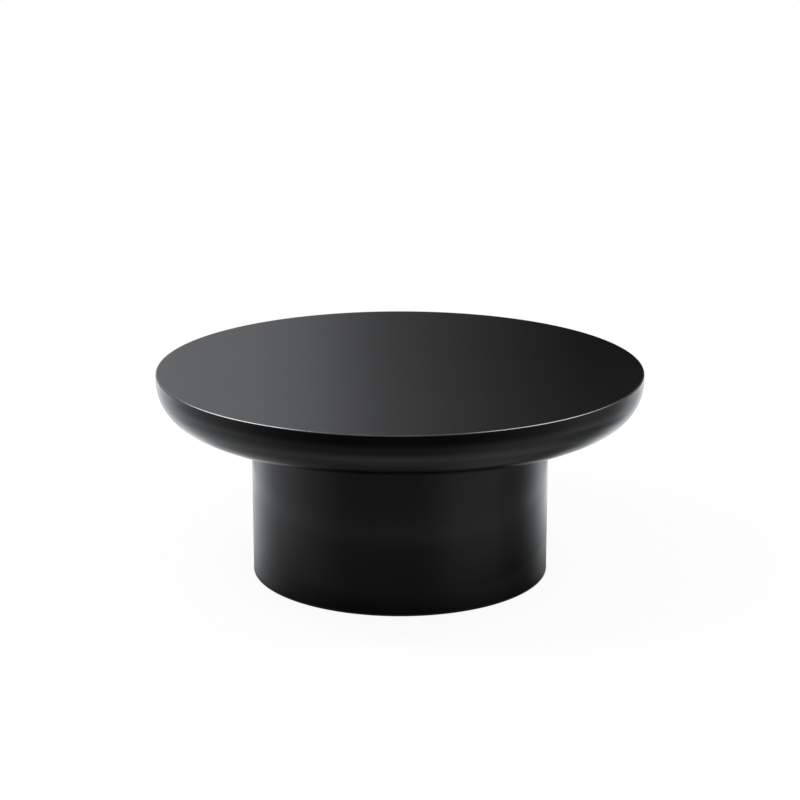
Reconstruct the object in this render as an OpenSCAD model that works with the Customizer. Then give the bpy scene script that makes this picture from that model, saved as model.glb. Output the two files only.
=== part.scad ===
// Round pedestal coffee table: a thick lacquered top with a bullnose edge on a plain drum.
// The origin is on the floor at the centre of the drum, and +Z is up. Sizes are in millimetres.

/* [Top] */
// Outside diameter of the round top
top_dia = 700; // [660:5:900]
// Height of the top surface above the floor
table_height = 300; // [260:5:450]
// Thickness of each of the five board layers that the top is glued up from
board_t = 16; // [15.5:0.5:18]
// Radius of the eased upper edge
edge_ease = 2; // [1:0.5:4]
// Radius of the bullnose below the straight part of the edge
edge_arc_r = 60; // [52:1:64]
// Angle that the bullnose turns through before the flatter underside arc takes over
edge_arc_angle = 65; // [61:1:70]
// Radius of the flatter arc that runs in under the top
under_arc_r = 166; // [130:1:190]
// Width of the rim rings, from the outside of the top to their bore
rim_ring_w = 100; // [90:1:130]

/* [Hollow core] */
// Diameter of the round block in the middle of the core
hub_dia = 120; // [90:1:140]
// Thickness of the ribs that run from the hub to the rim
rib_t = 12; // [9:1:15]
// Side of the square blocks that take the threaded inserts
block_side = 60; // [50:1:64]

/* [Drum] */
// Outside diameter of the drum
drum_dia = 430; // [400:2:460]
// Thickness of the lacquered outer skin
skin_t = 4; // [3:0.5:6]
// Thickness of the bent plywood shell behind the skin
shell_t = 9; // [6:0.5:12]
// Thickness of the top and bottom formers
former_t = 18; // [15:1:21]
// Gap between the lower edge of the drum and the floor
floor_gap = 2; // [1:0.5:5]
// Width of the ring that is the bottom former
bottom_ring_w = 52; // [46:1:70]
// Diameter of the hand hole in the top former
hand_hole_dia = 160; // [100:2:190]
// Number of upright battens between the formers
batten_count = 8; // [6:1:12]
// Width of a batten along the shell
batten_w = 45; // [30:1:60]
// Depth of a batten, inwards from the shell
batten_t = 22; // [18:1:24]

/* [Joint between top and drum] */
// Number of bolts, which is also the number of ribs between them
bolt_count = 6; // [4:1:7]
// Diameter of the circle that the bolts stand on
bolt_pcd = 250; // [224:2:290]
// Thread diameter of the bolts
bolt_dia = 8; // [6:1:10]
// Length of a bolt under its head
bolt_len = 35; // [31:1:41]
// Size across the flats of a bolt's hexagon head
bolt_head_flats = 13; // [12:0.5:16]
// Height of a bolt's head
bolt_head_h = 5.3; // [4:0.1:8]
// Outside diameter of a washer
washer_dia = 18; // [16:1:24]
// Thickness of a washer
washer_t = 1.6; // [1:0.2:2.4]
// Length of the threaded inserts in the top
insert_len = 25; // [22:1:30]
// Diameter of the two dowels that centre the top on the drum
dowel_dia = 10; // [8:1:12]
// Length of a dowel, half of it on each side of the joint
dowel_len = 28; // [20:1:30]

/* [Former screws] */
// Shank diameter of the wood screws that hold the battens
screw_dia = 4; // [3.5:0.5:5]
// Length of a wood screw
screw_len = 50; // [35:1:70]
// Diameter of a wood screw's countersunk head
screw_head_dia = 8; // [7:0.5:10]

/* [Levellers] */
// Distance of a levelling foot's axis from the inside of the shell
leveller_inset = 30; // [27:1:34]
// Thread diameter of a foot's stem
stem_dia = 8; // [6:1:10]
// Distance that a foot can be screwed out
leveller_travel = 10; // [5:1:15]
// Thread that stays above the insert at full travel
stem_spare = 8; // [4:1:12]
// Wall of the threaded inserts round a stem or a bolt
insert_wall = 2; // [1.5:0.5:3]
// Size across the flats of a stem's hexagonal collar
collar_flats = 13; // [12:1:17]
// Height of the collar
collar_h = 4.2; // [3:0.2:6]
// Diameter of a foot's moulded pad
pad_dia = 30; // [26:1:36]
// Height of the pad
pad_h = 6; // [5.5:0.5:8]
// Thickness of the pad under the stem's flange
pad_floor_t = 1; // [0.8:0.1:1.4]
// Thickness of the flange that the pad snaps over
flange_t = 2.3; // [1.8:0.1:2.6]
// Diameter of the felt disc under the pad
felt_dia = 28; // [22:1:30]
// Thickness of the felt
felt_t = 3; // [2:0.5:5]

/* [Clearances] */
// Gap left for the glue line between curved pieces
glue_line = 0.1; // [0.05:0.05:0.3]
// Radial gap between a thread, dowel or insert and its hole
thread_gap = 0.05; // [0.02:0.01:0.1]
// Radial gap between a bolt's shank and a plain hole
bolt_hole_gap = 0.5; // [0.3:0.1:1]
// Gap round the flange of a swivelling stem, and under its collar
swivel_gap = 0.3; // [0.2:0.05:0.4]
// Radial gap between a stem's neck and the lip of its pad
neck_gap = 0.08; // [0.03:0.01:0.1]
// Gap between the collar and the insert with the foot screwed right in
stop_gap = 0.5; // [0.2:0.1:1]

/* [Hidden] */
$fn = 96;

lacquer_black = [0.035, 0.036, 0.04];
fibreboard = [0.62, 0.47, 0.33];
plywood = [0.8, 0.68, 0.5];
pine = [0.86, 0.72, 0.5];
beech = [0.85, 0.7, 0.52];
zinc = [0.75, 0.76, 0.78];
brass = [0.8, 0.65, 0.3];
moulded_black = [0.08, 0.08, 0.085];
felt_grey = [0.25, 0.25, 0.26];

// Heights of the top's layers
layers = 5;
top_t = layers * board_t;
top_base = table_height - top_t;
function layer_base(k) = top_base + k * board_t;
core_h = (layers - 2) * board_t;

// The edge of the top, from the underside up
top_r = top_dia / 2;
bull_drop = edge_arc_r * sin(edge_arc_angle);
under_drop = under_arc_r * (1 - sin(edge_arc_angle));
bull_x = top_r - edge_arc_r;
bull_z = top_base + bull_drop + under_drop;
under_x = bull_x - (under_arc_r - edge_arc_r) * cos(edge_arc_angle);
under_z = top_base + under_arc_r;
ease_x = top_r - edge_ease;
ease_z = table_height - edge_ease;
arc_step = 2.5;
ease_step = 15;
rim_bore_r = top_r - rim_ring_w;

// Radii of the drum's walls
drum_r = drum_dia / 2;
skin_inner_r = drum_r - skin_t;
shell_outer_r = skin_inner_r - glue_line;
shell_inner_r = skin_inner_r - shell_t;
bond_r = shell_inner_r - glue_line;
drum_h = top_base - floor_gap;

// Stack of a levelling foot, from the floor up
leveller_count = 4;
felt_top = felt_t;
pad_top = felt_top + pad_h;
cavity_base = felt_top + pad_floor_t;
cavity_h = flange_t + 2 * swivel_gap;
collar_base = pad_top + swivel_gap;
collar_top = collar_base + collar_h;
bottom_former_base = collar_top + stop_gap;
bottom_former_top = bottom_former_base + former_t;
stem_top = bottom_former_top + leveller_travel + stem_spare;
stem_r = stem_dia / 2;
flange_r = stem_r + insert_wall;
leveller_r = shell_inner_r - leveller_inset;
stem_chamfer = 0.8;

// Heights of the upper joint, from the drum's top former up
top_former_base = top_base - former_t;
batten_h = top_former_base - bottom_former_top;
washer_base = top_former_base - washer_t;
bolt_r = bolt_dia / 2;
bolt_circle_r = bolt_pcd / 2;
insert_r = bolt_r + insert_wall;
dowel_r = dowel_dia / 2;
between_bolts = 180 / bolt_count;

// Wood screws and their driving recess
screw_circle_r = shell_inner_r - batten_t / 2;
screw_r = screw_dia / 2;
screw_head_r = screw_head_dia / 2;
screw_head_h = screw_head_r - screw_r;
screw_tip = screw_dia;
recess_w = 1;
recess_depth = screw_head_h * 0.8;
first_batten = 180 / batten_count;

// How far a cut runs past the face that it opens on
past = 1;

function arc_points(x, z, r, from, to, step) =
    let (n = ceil(abs(to - from) / step))
    [for (i = [0 : n]) let (a = from + (to - from) * i / n) [x + r * cos(a), z + r * sin(a)]];

module around(count, radius, first = 0) {
    for (k = [0 : count - 1])
        rotate([0, 0, first + k * 360 / count])
            translate([radius, 0, 0])
                children();
}

module at_height(z) {
    translate([0, 0, z]) children();
}

module tube(outer_r, inner_r, z, h) {
    at_height(z)
        difference() {
            cylinder(r = outer_r, h = h);
            at_height(-past) cylinder(r = inner_r, h = h + 2 * past);
        }
}

module hexagon(flats, h) {
    cylinder(r = flats / sqrt(3), h = h, $fn = 6);
}

// The whole top in section, from its axis to its edge
module top_section() {
    polygon(concat(
        [[0, table_height], [0, top_base]],
        arc_points(under_x, under_z, under_arc_r, -90, -edge_arc_angle, arc_step),
        arc_points(bull_x, bull_z, edge_arc_r, arc_step - edge_arc_angle, 0, arc_step),
        arc_points(ease_x, ease_z, edge_ease, 0, 90, ease_step)
    ));
}

// One board layer of the top, with its bore radius
module top_layer(k, bore_r) {
    rotate_extrude()
        intersection() {
            top_section();
            translate([bore_r, layer_base(k)]) square([top_r, board_t]);
        }
}

module dowel_hole(z, h) {
    around(2, bolt_circle_r, between_bolts)
        at_height(z)
            cylinder(r = dowel_r + thread_gap, h = h);
}

module top_panel() {
    color(lacquer_black) top_layer(4, 0);
}

module rim_ring_upper() {
    color(lacquer_black) top_layer(3, rim_bore_r);
}

module rim_ring_middle() {
    color(lacquer_black) top_layer(2, rim_bore_r);
}

module rim_ring_lower() {
    color(lacquer_black) top_layer(1, rim_bore_r);
}

module bottom_panel() {
    color(lacquer_black)
        difference() {
            top_layer(0, 0);
            around(bolt_count, bolt_circle_r)
                at_height(top_base - past)
                    cylinder(r = insert_r + thread_gap, h = board_t + 2 * past);
            dowel_hole(top_base - past, dowel_len / 2 + thread_gap + past);
        }
}

module core_hub() {
    color(fibreboard)
        at_height(layer_base(1))
            cylinder(d = hub_dia, h = core_h);
}

module core_ribs() {
    color(fibreboard)
        for (k = [0 : bolt_count - 1])
            rotate([0, 0, between_bolts + k * 360 / bolt_count])
                at_height(layer_base(1))
                    intersection() {
                        difference() {
                            translate([0, -rib_t / 2, 0]) cube([top_r, rib_t, core_h]);
                            at_height(-past)
                                cylinder(r = hub_dia / 2 + glue_line, h = core_h + 2 * past);
                        }
                        cylinder(r = rim_bore_r - glue_line, h = core_h);
                    }
}

module insert_blocks() {
    color(pine)
        around(bolt_count, bolt_circle_r)
            at_height(layer_base(1))
                difference() {
                    translate([-block_side / 2, -block_side / 2, 0])
                        cube([block_side, block_side, core_h]);
                    at_height(-past)
                        cylinder(r = insert_r + thread_gap, h = insert_len - board_t + thread_gap + past);
                }
}

module top_inserts() {
    color(brass)
        around(bolt_count, bolt_circle_r)
            tube(insert_r, bolt_r + thread_gap, top_base, insert_len);
}

module locating_dowels() {
    color(beech)
        around(2, bolt_circle_r, between_bolts)
            at_height(top_base - dowel_len / 2)
                cylinder(r = dowel_r, h = dowel_len);
}

module drum_skin() {
    color(lacquer_black) tube(drum_r, skin_inner_r, floor_gap, drum_h);
}

module drum_shell() {
    color(plywood) tube(shell_outer_r, shell_inner_r, floor_gap, drum_h);
}

// A wood screw that points down from its flat head at height 0, grown all round by a gap
module screw_body(gap) {
    rotate_extrude()
        polygon([
            [0, 0],
            [screw_head_r + gap, 0],
            [screw_r + gap, -screw_head_h],
            [screw_r + gap, screw_tip - screw_len],
            [0, -screw_len - gap]
        ]);
}

module screw_hole() {
    screw_body(thread_gap);
    cylinder(r = screw_head_r + thread_gap, h = past);
}

// The wood screw itself, with a cross recess in its head
module wood_screw() {
    difference() {
        screw_body(0);
        for (turn = [0, 90])
            rotate([0, 0, turn])
                translate([-screw_head_r / 2, -recess_w / 2, -recess_depth])
                    cube([screw_head_r, recess_w, recess_depth + past]);
    }
}

module top_screw_places() {
    around(batten_count, screw_circle_r, first_batten)
        at_height(top_base)
            children();
}

module bottom_screw_places() {
    around(batten_count, screw_circle_r, first_batten)
        at_height(bottom_former_base)
            rotate([180, 0, 0])
                children();
}

module drum_top_former() {
    color(plywood)
        difference() {
            tube(bond_r, hand_hole_dia / 2, top_former_base, former_t);
            around(bolt_count, bolt_circle_r)
                at_height(top_former_base - past)
                    cylinder(r = bolt_r + bolt_hole_gap, h = former_t + 2 * past);
            dowel_hole(top_base - dowel_len / 2 - thread_gap, dowel_len / 2 + thread_gap + past);
            top_screw_places() screw_hole();
        }
}

module drum_bottom_former() {
    color(plywood)
        difference() {
            tube(bond_r, bond_r - bottom_ring_w, bottom_former_base, former_t);
            around(leveller_count, leveller_r)
                at_height(bottom_former_base - past)
                    cylinder(r = flange_r + thread_gap, h = former_t + 2 * past);
            bottom_screw_places() screw_hole();
        }
}

module drum_battens() {
    color(pine)
        difference() {
            for (k = [0 : batten_count - 1])
                rotate([0, 0, first_batten + k * 360 / batten_count])
                    at_height(bottom_former_top)
                        intersection() {
                            translate([shell_inner_r - batten_t, -batten_w / 2, 0])
                                cube([batten_t, batten_w, batten_h]);
                            cylinder(r = bond_r, h = batten_h);
                        }
            top_screw_places() screw_hole();
            bottom_screw_places() screw_hole();
        }
}

module top_former_screws() {
    color(zinc) top_screw_places() wood_screw();
}

module bottom_former_screws() {
    color(zinc) bottom_screw_places() wood_screw();
}

module joint_bolts() {
    color(zinc)
        around(bolt_count, bolt_circle_r) {
            at_height(washer_base) cylinder(r = bolt_r, h = bolt_len);
            at_height(washer_base - bolt_head_h) hexagon(bolt_head_flats, bolt_head_h);
        }
}

module bolt_washers() {
    color(zinc)
        around(bolt_count, bolt_circle_r)
            tube(washer_dia / 2, bolt_r + bolt_hole_gap / 2, washer_base, washer_t);
}

module leveller_inserts() {
    color(brass)
        around(leveller_count, leveller_r)
            tube(flange_r, stem_r + thread_gap, bottom_former_base, former_t);
}

// Puts a piece at the place of levelling foot number k, counted from 1
module at_leveller(k) {
    rotate([0, 0, (k - 1) * 360 / leveller_count])
        translate([leveller_r, 0, 0])
            children();
}

module leveller_stem(k) {
    color(zinc)
        at_leveller(k) {
            at_height(cavity_base + swivel_gap) cylinder(r = flange_r, h = flange_t);
            rotate_extrude()
                polygon([
                    [0, cavity_base + swivel_gap],
                    [stem_r, cavity_base + swivel_gap],
                    [stem_r, stem_top - stem_chamfer],
                    [stem_r - stem_chamfer, stem_top],
                    [0, stem_top]
                ]);
            at_height(collar_base) hexagon(collar_flats, collar_h);
        }
}

module leveller_pad(k) {
    color(moulded_black)
        at_leveller(k)
            difference() {
                at_height(felt_top) cylinder(d = pad_dia, h = pad_h);
                at_height(cavity_base) cylinder(r = flange_r + swivel_gap, h = cavity_h);
                at_height(cavity_base) cylinder(r = stem_r + neck_gap, h = pad_h);
            }
}

module leveller_felt(k) {
    color(felt_grey) at_leveller(k) cylinder(d = felt_dia, h = felt_t);
}

top_panel();
rim_ring_upper();
rim_ring_middle();
rim_ring_lower();
bottom_panel();
core_hub();
core_ribs();
insert_blocks();
top_inserts();
locating_dowels();
drum_skin();
drum_shell();
drum_top_former();
drum_bottom_former();
drum_battens();
top_former_screws();
bottom_former_screws();
joint_bolts();
bolt_washers();
leveller_inserts();
leveller_stem(1);  // leveller_stem_1
leveller_stem(2);  // leveller_stem_2
leveller_stem(3);  // leveller_stem_3
leveller_stem(4);  // leveller_stem_4
leveller_pad(1);  // leveller_pad_1
leveller_pad(2);  // leveller_pad_2
leveller_pad(3);  // leveller_pad_3
leveller_pad(4);  // leveller_pad_4
leveller_felt(1);  // leveller_felt_1
leveller_felt(2);  // leveller_felt_2
leveller_felt(3);  // leveller_felt_3
leveller_felt(4);  // leveller_felt_4
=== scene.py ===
"""Round pedestal table in satin black lacquer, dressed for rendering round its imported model."""

import math

import bpy
from bpy.props import FloatProperty, FloatVectorProperty, IntProperty, PointerProperty
from bpy.types import Operator, Panel, PropertyGroup
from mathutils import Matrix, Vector


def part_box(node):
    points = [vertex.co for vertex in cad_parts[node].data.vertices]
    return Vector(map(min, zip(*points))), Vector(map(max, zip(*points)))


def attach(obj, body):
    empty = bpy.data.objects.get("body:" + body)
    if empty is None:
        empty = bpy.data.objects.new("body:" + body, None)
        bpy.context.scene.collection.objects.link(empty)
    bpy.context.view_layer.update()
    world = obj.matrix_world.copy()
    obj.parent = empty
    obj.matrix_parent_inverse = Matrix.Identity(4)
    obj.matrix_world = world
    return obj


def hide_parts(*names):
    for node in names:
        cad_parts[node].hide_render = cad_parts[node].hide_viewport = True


bl_info = {
    "name": "Round pedestal table",
    "version": (1, 0, 0),
    "blender": (4, 5, 0),
    "location": "3D View > Sidebar > Table",
    "description": "Models and finishes a lacquered round pedestal table",
    "category": "Object",
}

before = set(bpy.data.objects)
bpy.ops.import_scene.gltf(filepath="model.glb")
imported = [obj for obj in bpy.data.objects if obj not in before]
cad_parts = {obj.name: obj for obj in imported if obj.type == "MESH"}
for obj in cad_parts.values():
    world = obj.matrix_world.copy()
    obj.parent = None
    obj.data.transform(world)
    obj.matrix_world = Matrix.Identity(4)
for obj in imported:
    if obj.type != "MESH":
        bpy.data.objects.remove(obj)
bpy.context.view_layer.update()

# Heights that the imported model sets
TABLE_TOP_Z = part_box("top_panel")[1].z
UNDERSIDE_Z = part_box("bottom_panel")[0].z
DRUM_LOW_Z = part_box("drum_skin")[0].z
FULL_TURN = 2 * math.pi
SMOOTH_ANGLE = math.radians(35)
# Depth of a metric thread as a share of its pitch, and its steps in one turn
THREAD_DEPTH = 0.5413
THREAD_STEPS = 24
# Steps round small turned pieces and bores, from the plainest to the finest
BORE_STEPS, RING_STEPS, HEAD_STEPS, DISC_STEPS = 32, 64, 72, 96
# Points closer than this are one point
TINY = 1e-6
# How far joined shapes run into each other, and how far a cutting tool stands out
OVERLAP = 0.0002
STAND_OUT = 0.001
# A blank that trims a thread or a head is this much wider than it
BLANK_MARGIN = 1.01


def length(name, description, default):
    """A size in metres that a user can change."""
    return FloatProperty(
        name=name, description=description, default=default, min=0, unit="LENGTH", precision=5
    )


def angle(name, description, degrees):
    """An angle that a user can change."""
    return FloatProperty(
        name=name, description=description, default=math.radians(degrees), subtype="ANGLE"
    )


def number(name, description, default, least=3):
    """A count that a user can change."""
    return IntProperty(name=name, description=description, default=default, min=least)


def colour(name, description, default):
    """A colour that a user can change."""
    return FloatVectorProperty(
        name=name, description=description, default=default, size=3, min=0, max=1, subtype="COLOR"
    )


class TableTopSizes(PropertyGroup):
    """Sizes of the lacquered top."""

    radius: length("Radius", "Outside radius of the top", 0.35)
    edge_ease: length("Edge ease", "Radius of the eased upper edge", 0.002)
    bullnose_radius: length("Bullnose radius", "Radius of the bullnose", 0.06)
    bullnose_angle: angle("Bullnose angle", "Turn of the bullnose before the flatter arc", 65)
    under_radius: length("Under arc radius", "Radius of the arc under the top", 0.166)
    cavity_radius: length("Cavity radius", "Radius of the hollow core", 0.25)
    panel: length("Panel", "Thickness of each panel round the hollow", 0.016)
    segments: number("Segments", "Steps round the top", 256, 24)


class DrumSizes(PropertyGroup):
    """Sizes of the lacquered drum."""

    radius: length("Radius", "Outside radius of the drum", 0.215)
    wall: length("Wall", "Thickness of the outer skin", 0.004)
    edge_ease: length("Edge ease", "Radius of the eased lower edge", 0.001)
    segments: number("Segments", "Steps round the drum", 192, 24)


class JointSizes(PropertyGroup):
    """Sizes of the bolted joint of top and drum."""

    bolts: number("Bolts", "Number of bolts", 6)
    circle: length("Bolt circle", "Radius of the circle of bolts and dowels", 0.125)
    thread_radius: length("Thread radius", "Outside radius of the thread", 0.004)
    pitch: length("Pitch", "Rise of the thread in one turn", 0.00125)
    head_flats: length("Head flats", "Width of the head across its flats", 0.013)
    washer_radius: length("Washer radius", "Outside radius of a washer", 0.009)
    washer_bore: length("Washer bore", "Radius of a washer's hole", 0.00425)
    insert_radius: length("Insert radius", "Outside radius of an insert", 0.006)
    insert_bore: length("Insert bore", "Radius of an insert's bore", 0.00405)
    insert_pitch: length("Insert pitch", "Rise of the outer thread in one turn", 0.003)
    dowel_radius: length("Dowel radius", "Radius of a locating dowel", 0.005)
    dowels: number("Dowels", "Number of locating dowels", 2, 1)
    dowel_angle: angle("Dowel angle", "Angle of the first dowel", 30)
    flutes: number("Flutes", "Flutes round a dowel", 24, 6)


class ScrewSizes(PropertyGroup):
    """Sizes of the countersunk wood screws."""

    screws: number("Screws", "Number of screws in each ring", 8)
    circle: length("Screw circle", "Radius of the circle of screws", 0.191)
    thread_radius: length("Thread radius", "Outside radius of the thread", 0.002)
    core_radius: length("Core radius", "Radius between the threads", 0.0013)
    shank_radius: length("Shank radius", "Radius of the plain shank", 0.0016)
    shank: length("Shank", "Length from the head's face to the thread", 0.016)
    pitch: length("Pitch", "Rise of the thread in one turn", 0.0019)
    total: length("Length", "Length from the head's face to the point", 0.05)
    point: length("Point", "Length of the point", 0.005)
    head_radius: length("Head radius", "Radius of the head's face", 0.004)
    head_depth: length("Head depth", "Depth of the countersunk head", 0.002)
    recess_length: length("Recess length", "Length of each arm of the cross recess", 0.004)
    recess_width: length("Recess width", "Width of each arm of the cross recess", 0.001)
    recess_depth: length("Recess depth", "Depth of the cross recess", 0.0016)


class FootSizes(PropertyGroup):
    """Sizes of a levelling foot."""

    feet: number("Feet", "Number of feet", 4)
    circle: length("Foot circle", "Radius of the circle of feet", 0.172)
    thread_radius: length("Thread radius", "Outside radius of the thread", 0.004)
    pitch: length("Pitch", "Rise of the thread in one turn", 0.00125)
    tip_chamfer: length("Tip chamfer", "Chamfer at the top of the stem", 0.0008)
    collar_flats: length("Collar flats", "Width of the collar across its flats", 0.013)
    collar: length("Collar", "Height of the collar", 0.0042)
    flange_radius: length("Flange radius", "Radius of the flange that the pad holds", 0.006)
    flange: length("Flange", "Thickness of the flange", 0.0023)
    swivel_gap: length("Swivel gap", "Clearance round the flange and under the collar", 0.0003)
    neck_gap: length("Neck gap", "Clearance of the pad round the stem", 0.00008)
    pad_radius: length("Pad radius", "Radius of the moulded pad", 0.015)
    pad_round: length("Pad rounding", "Radius of the pad's upper edge", 0.0015)
    pad_floor: length("Pad floor", "Thickness of the pad under the flange", 0.001)
    felt_radius: length("Felt radius", "Radius of the felt", 0.014)
    felt_round: length("Felt rounding", "Radius of the felt's lower edge", 0.0008)


class FinishColours(PropertyGroup):
    """Colours of the finishes."""

    lacquer: colour("Lacquer", "Black of the satin lacquer", (0.0022, 0.0022, 0.0023))
    # Colour of a painted highlight: the lighter, metallic band on the lacquer's eased edge
    painted_edge_highlight: colour("Rubbed edge", "Lacquer rubbed to a shine", (0.25, 0.255, 0.26))
    fibreboard: colour("Fibreboard", "Raw fibreboard", (0.40, 0.25, 0.14))
    ply_light: colour("Ply face", "Veneer with its grain along the face", (0.72, 0.53, 0.31))
    ply_dark: colour("Ply end", "Veneer that shows its end grain", (0.47, 0.30, 0.16))
    pine: colour("Pine", "Pine between its growth rings", (0.76, 0.54, 0.29))
    pine_ring: colour("Pine ring", "Late wood of the pine", (0.55, 0.31, 0.12))
    beech: colour("Beech", "Beech of the dowels", (0.62, 0.40, 0.23))
    beech_fleck: colour("Beech fleck", "Flecks in the beech", (0.42, 0.24, 0.12))
    zinc: colour("Zinc", "Zinc plating", (0.60, 0.61, 0.63))
    brass: colour("Brass", "Brass of the inserts", (0.72, 0.52, 0.22))
    pad: colour("Pad", "Black moulded nylon", (0.018, 0.018, 0.019))
    felt: colour("Felt", "Grey felt", (0.070, 0.070, 0.074))


class StudioSettings(PropertyGroup):
    """Where the camera stands, what it looks at, and its lens."""

    lens: FloatProperty(
        name="Lens", description="Focal length in millimetres on a 36 mm sensor", default=99.7
    )
    distance: length("Distance", "From the camera to what it looks at", 3.202)
    elevation: angle("Elevation", "Angle of the camera above the horizon", 15.54)
    aim_height: length("Aim height", "Height of what the camera looks at", 0.2504)


def start_clean():
    """Leaves nothing selected, in object mode."""
    if bpy.context.object and bpy.context.object.mode != "OBJECT":
        bpy.ops.object.mode_set(mode="OBJECT")
    bpy.ops.object.select_all(action="DESELECT")


def arc(x, z, radius, start, end, steps):
    """Points of an arc from angle start to angle end, the first one left out."""
    angles = [start + (end - start) * k / steps for k in range(1, steps + 1)]
    return [(x + radius * math.cos(a), z + radius * math.sin(a)) for a in angles]


def only(*pieces):
    """Selects these pieces alone, with the first one active."""
    start_clean()
    for piece in pieces:
        piece.select_set(True)
    bpy.context.view_layer.objects.active = pieces[0]


def added(name):
    """The object that was added last, with its name."""
    piece = bpy.context.active_object
    piece.name = piece.data.name = name
    return piece


def settle(*pieces):
    """Puts the place and the turn of each piece into its mesh."""
    only(*pieces)
    bpy.ops.object.transform_apply(location=True, rotation=True, scale=True)


def fresh():
    """The piece that was added last, with its place in its mesh."""
    settle(bpy.context.active_object)
    return bpy.context.active_object


def smooth(piece):
    """Shades a piece smooth, apart from its sharp edges."""
    only(piece)
    bpy.ops.object.shade_smooth_by_angle(angle=SMOOTH_ANGLE)


def join(name, *pieces):
    """Makes all these pieces one, under a name."""
    only(*pieces)
    if len(pieces) > 1:
        bpy.ops.object.join()
    pieces[0].name = pieces[0].data.name = name
    return pieces[0]


def cut(piece, tool, operation="DIFFERENCE"):
    """Cuts or trims a piece with a tool, which goes. The cut faces take the tool's finish."""
    only(piece)
    bpy.ops.object.modifier_add(type="BOOLEAN")
    change = piece.modifiers[-1]
    change.operation, change.object, change.solver = operation, tool, "EXACT"
    change.material_mode = "TRANSFER"
    bpy.ops.object.modifier_apply(modifier=change.name)
    only(tool)
    bpy.ops.object.delete()
    return piece


def set_out(piece, count, radius, first=0.0):
    """Copies a piece round the Z axis, each copy with its own mesh, and returns them all."""
    copies = [piece]
    for _ in range(count - 1):
        only(piece)
        bpy.ops.object.duplicate()
        copies.append(bpy.context.active_object)
    for k, one in enumerate(copies):
        turn = first + FULL_TURN * k / count
        one.location = (radius * math.cos(turn), radius * math.sin(turn), 0)
        one.rotation_euler = (0, 0, turn)
    settle(*copies)
    return copies


def select_ring(piece, radius, height):
    """Selects the edges of one ring of a turned piece, in edit mode."""
    bpy.ops.mesh.select_mode(type="EDGE")
    bpy.ops.mesh.select_all(action="DESELECT")
    bpy.ops.object.mode_set(mode="OBJECT")
    for edge in piece.data.edges:
        ends = [piece.data.vertices[v].co for v in edge.vertices]
        edge.select = all(
            abs(e.z - height) < TINY and abs(e.xy.length - radius) < TINY for e in ends
        )
    bpy.ops.object.mode_set(mode="EDIT")


def lathe(outline, segments):
    """A closed piece turned about the Z axis from an outline of (radius, height) points.

    An outline that ends where it starts is a ring. Any other gets a flat face at each end."""
    start_clean()
    radius, height = outline[0]
    bpy.ops.mesh.primitive_circle_add(vertices=segments, radius=radius, location=(0, 0, height))
    piece = fresh()
    bpy.ops.object.mode_set(mode="EDIT")
    bpy.ops.mesh.select_all(action="SELECT")
    for next_radius, next_height in outline[1:]:
        rise = (0, 0, next_height - height)
        bpy.ops.mesh.extrude_region_move(TRANSFORM_OT_translate={"value": rise})
        grow = next_radius / radius
        bpy.ops.transform.resize(value=(grow, grow, 1), center_override=(0, 0, next_height))
        radius, height = next_radius, next_height
    if math.dist(outline[0], outline[-1]) > TINY:
        for end in (outline[0], outline[-1]):
            select_ring(piece, *end)
            bpy.ops.mesh.edge_face_add()
    bpy.ops.mesh.select_all(action="SELECT")
    bpy.ops.mesh.remove_doubles(threshold=TINY)
    bpy.ops.mesh.normals_make_consistent(inside=False)
    smooth(piece)
    return piece


def thread(radius, pitch, low, high, depth=None, chamfer=0.0):
    """A right-handed thread along the Z axis, with flat ends, and a chamfer at the upper one.

    A profile of one pitch, with a flat root and crest, is screwed up past both ends, which are
    then cut flat."""
    depth = depth or THREAD_DEPTH * pitch
    start_clean()
    bpy.ops.mesh.primitive_plane_add(size=pitch, location=(radius - depth, 0, low - pitch))
    piece = fresh()
    bpy.ops.object.mode_set(mode="EDIT")
    bpy.ops.mesh.select_mode(type="VERT")
    bpy.ops.mesh.select_all(action="SELECT")
    bpy.ops.mesh.merge(type="CENTER")
    land, flank = pitch / 8, pitch * 5 / 16
    for step in ((0, 0, land), (depth, 0, flank), (0, 0, land), (-depth, 0, flank), (0, 0, land)):
        bpy.ops.mesh.extrude_region_move(TRANSFORM_OT_translate={"value": step})
    bpy.ops.object.mode_set(mode="OBJECT")
    bpy.ops.object.modifier_add(type="SCREW")
    turns = piece.modifiers[-1]
    turns.screw_offset, turns.iterations = pitch, math.ceil((high - low) / pitch) + 2
    turns.steps = turns.render_steps = THREAD_STEPS
    bpy.ops.object.modifier_apply(modifier=turns.name)
    bpy.ops.object.mode_set(mode="EDIT")
    bpy.ops.mesh.select_all(action="SELECT")
    bpy.ops.mesh.remove_doubles(threshold=TINY)
    for height, lower in ((low, True), (high, False)):
        bpy.ops.mesh.select_all(action="SELECT")
        bpy.ops.mesh.bisect(
            plane_co=(0, 0, height), plane_no=(0, 0, 1), threshold=TINY / 10, use_fill=True,
            clear_inner=lower, clear_outer=not lower,
        )
    bpy.ops.mesh.select_all(action="SELECT")
    bpy.ops.mesh.normals_make_consistent(inside=False)
    start_clean()
    if chamfer:
        clear, tip = radius * 1.02, radius - 1.5 * chamfer
        outline = [(clear, low - pitch), (clear, high - chamfer), (tip, high + chamfer / 2)]
        cut(piece, lathe(outline, 2 * THREAD_STEPS), "INTERSECT")
    smooth(piece)
    return piece


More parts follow.
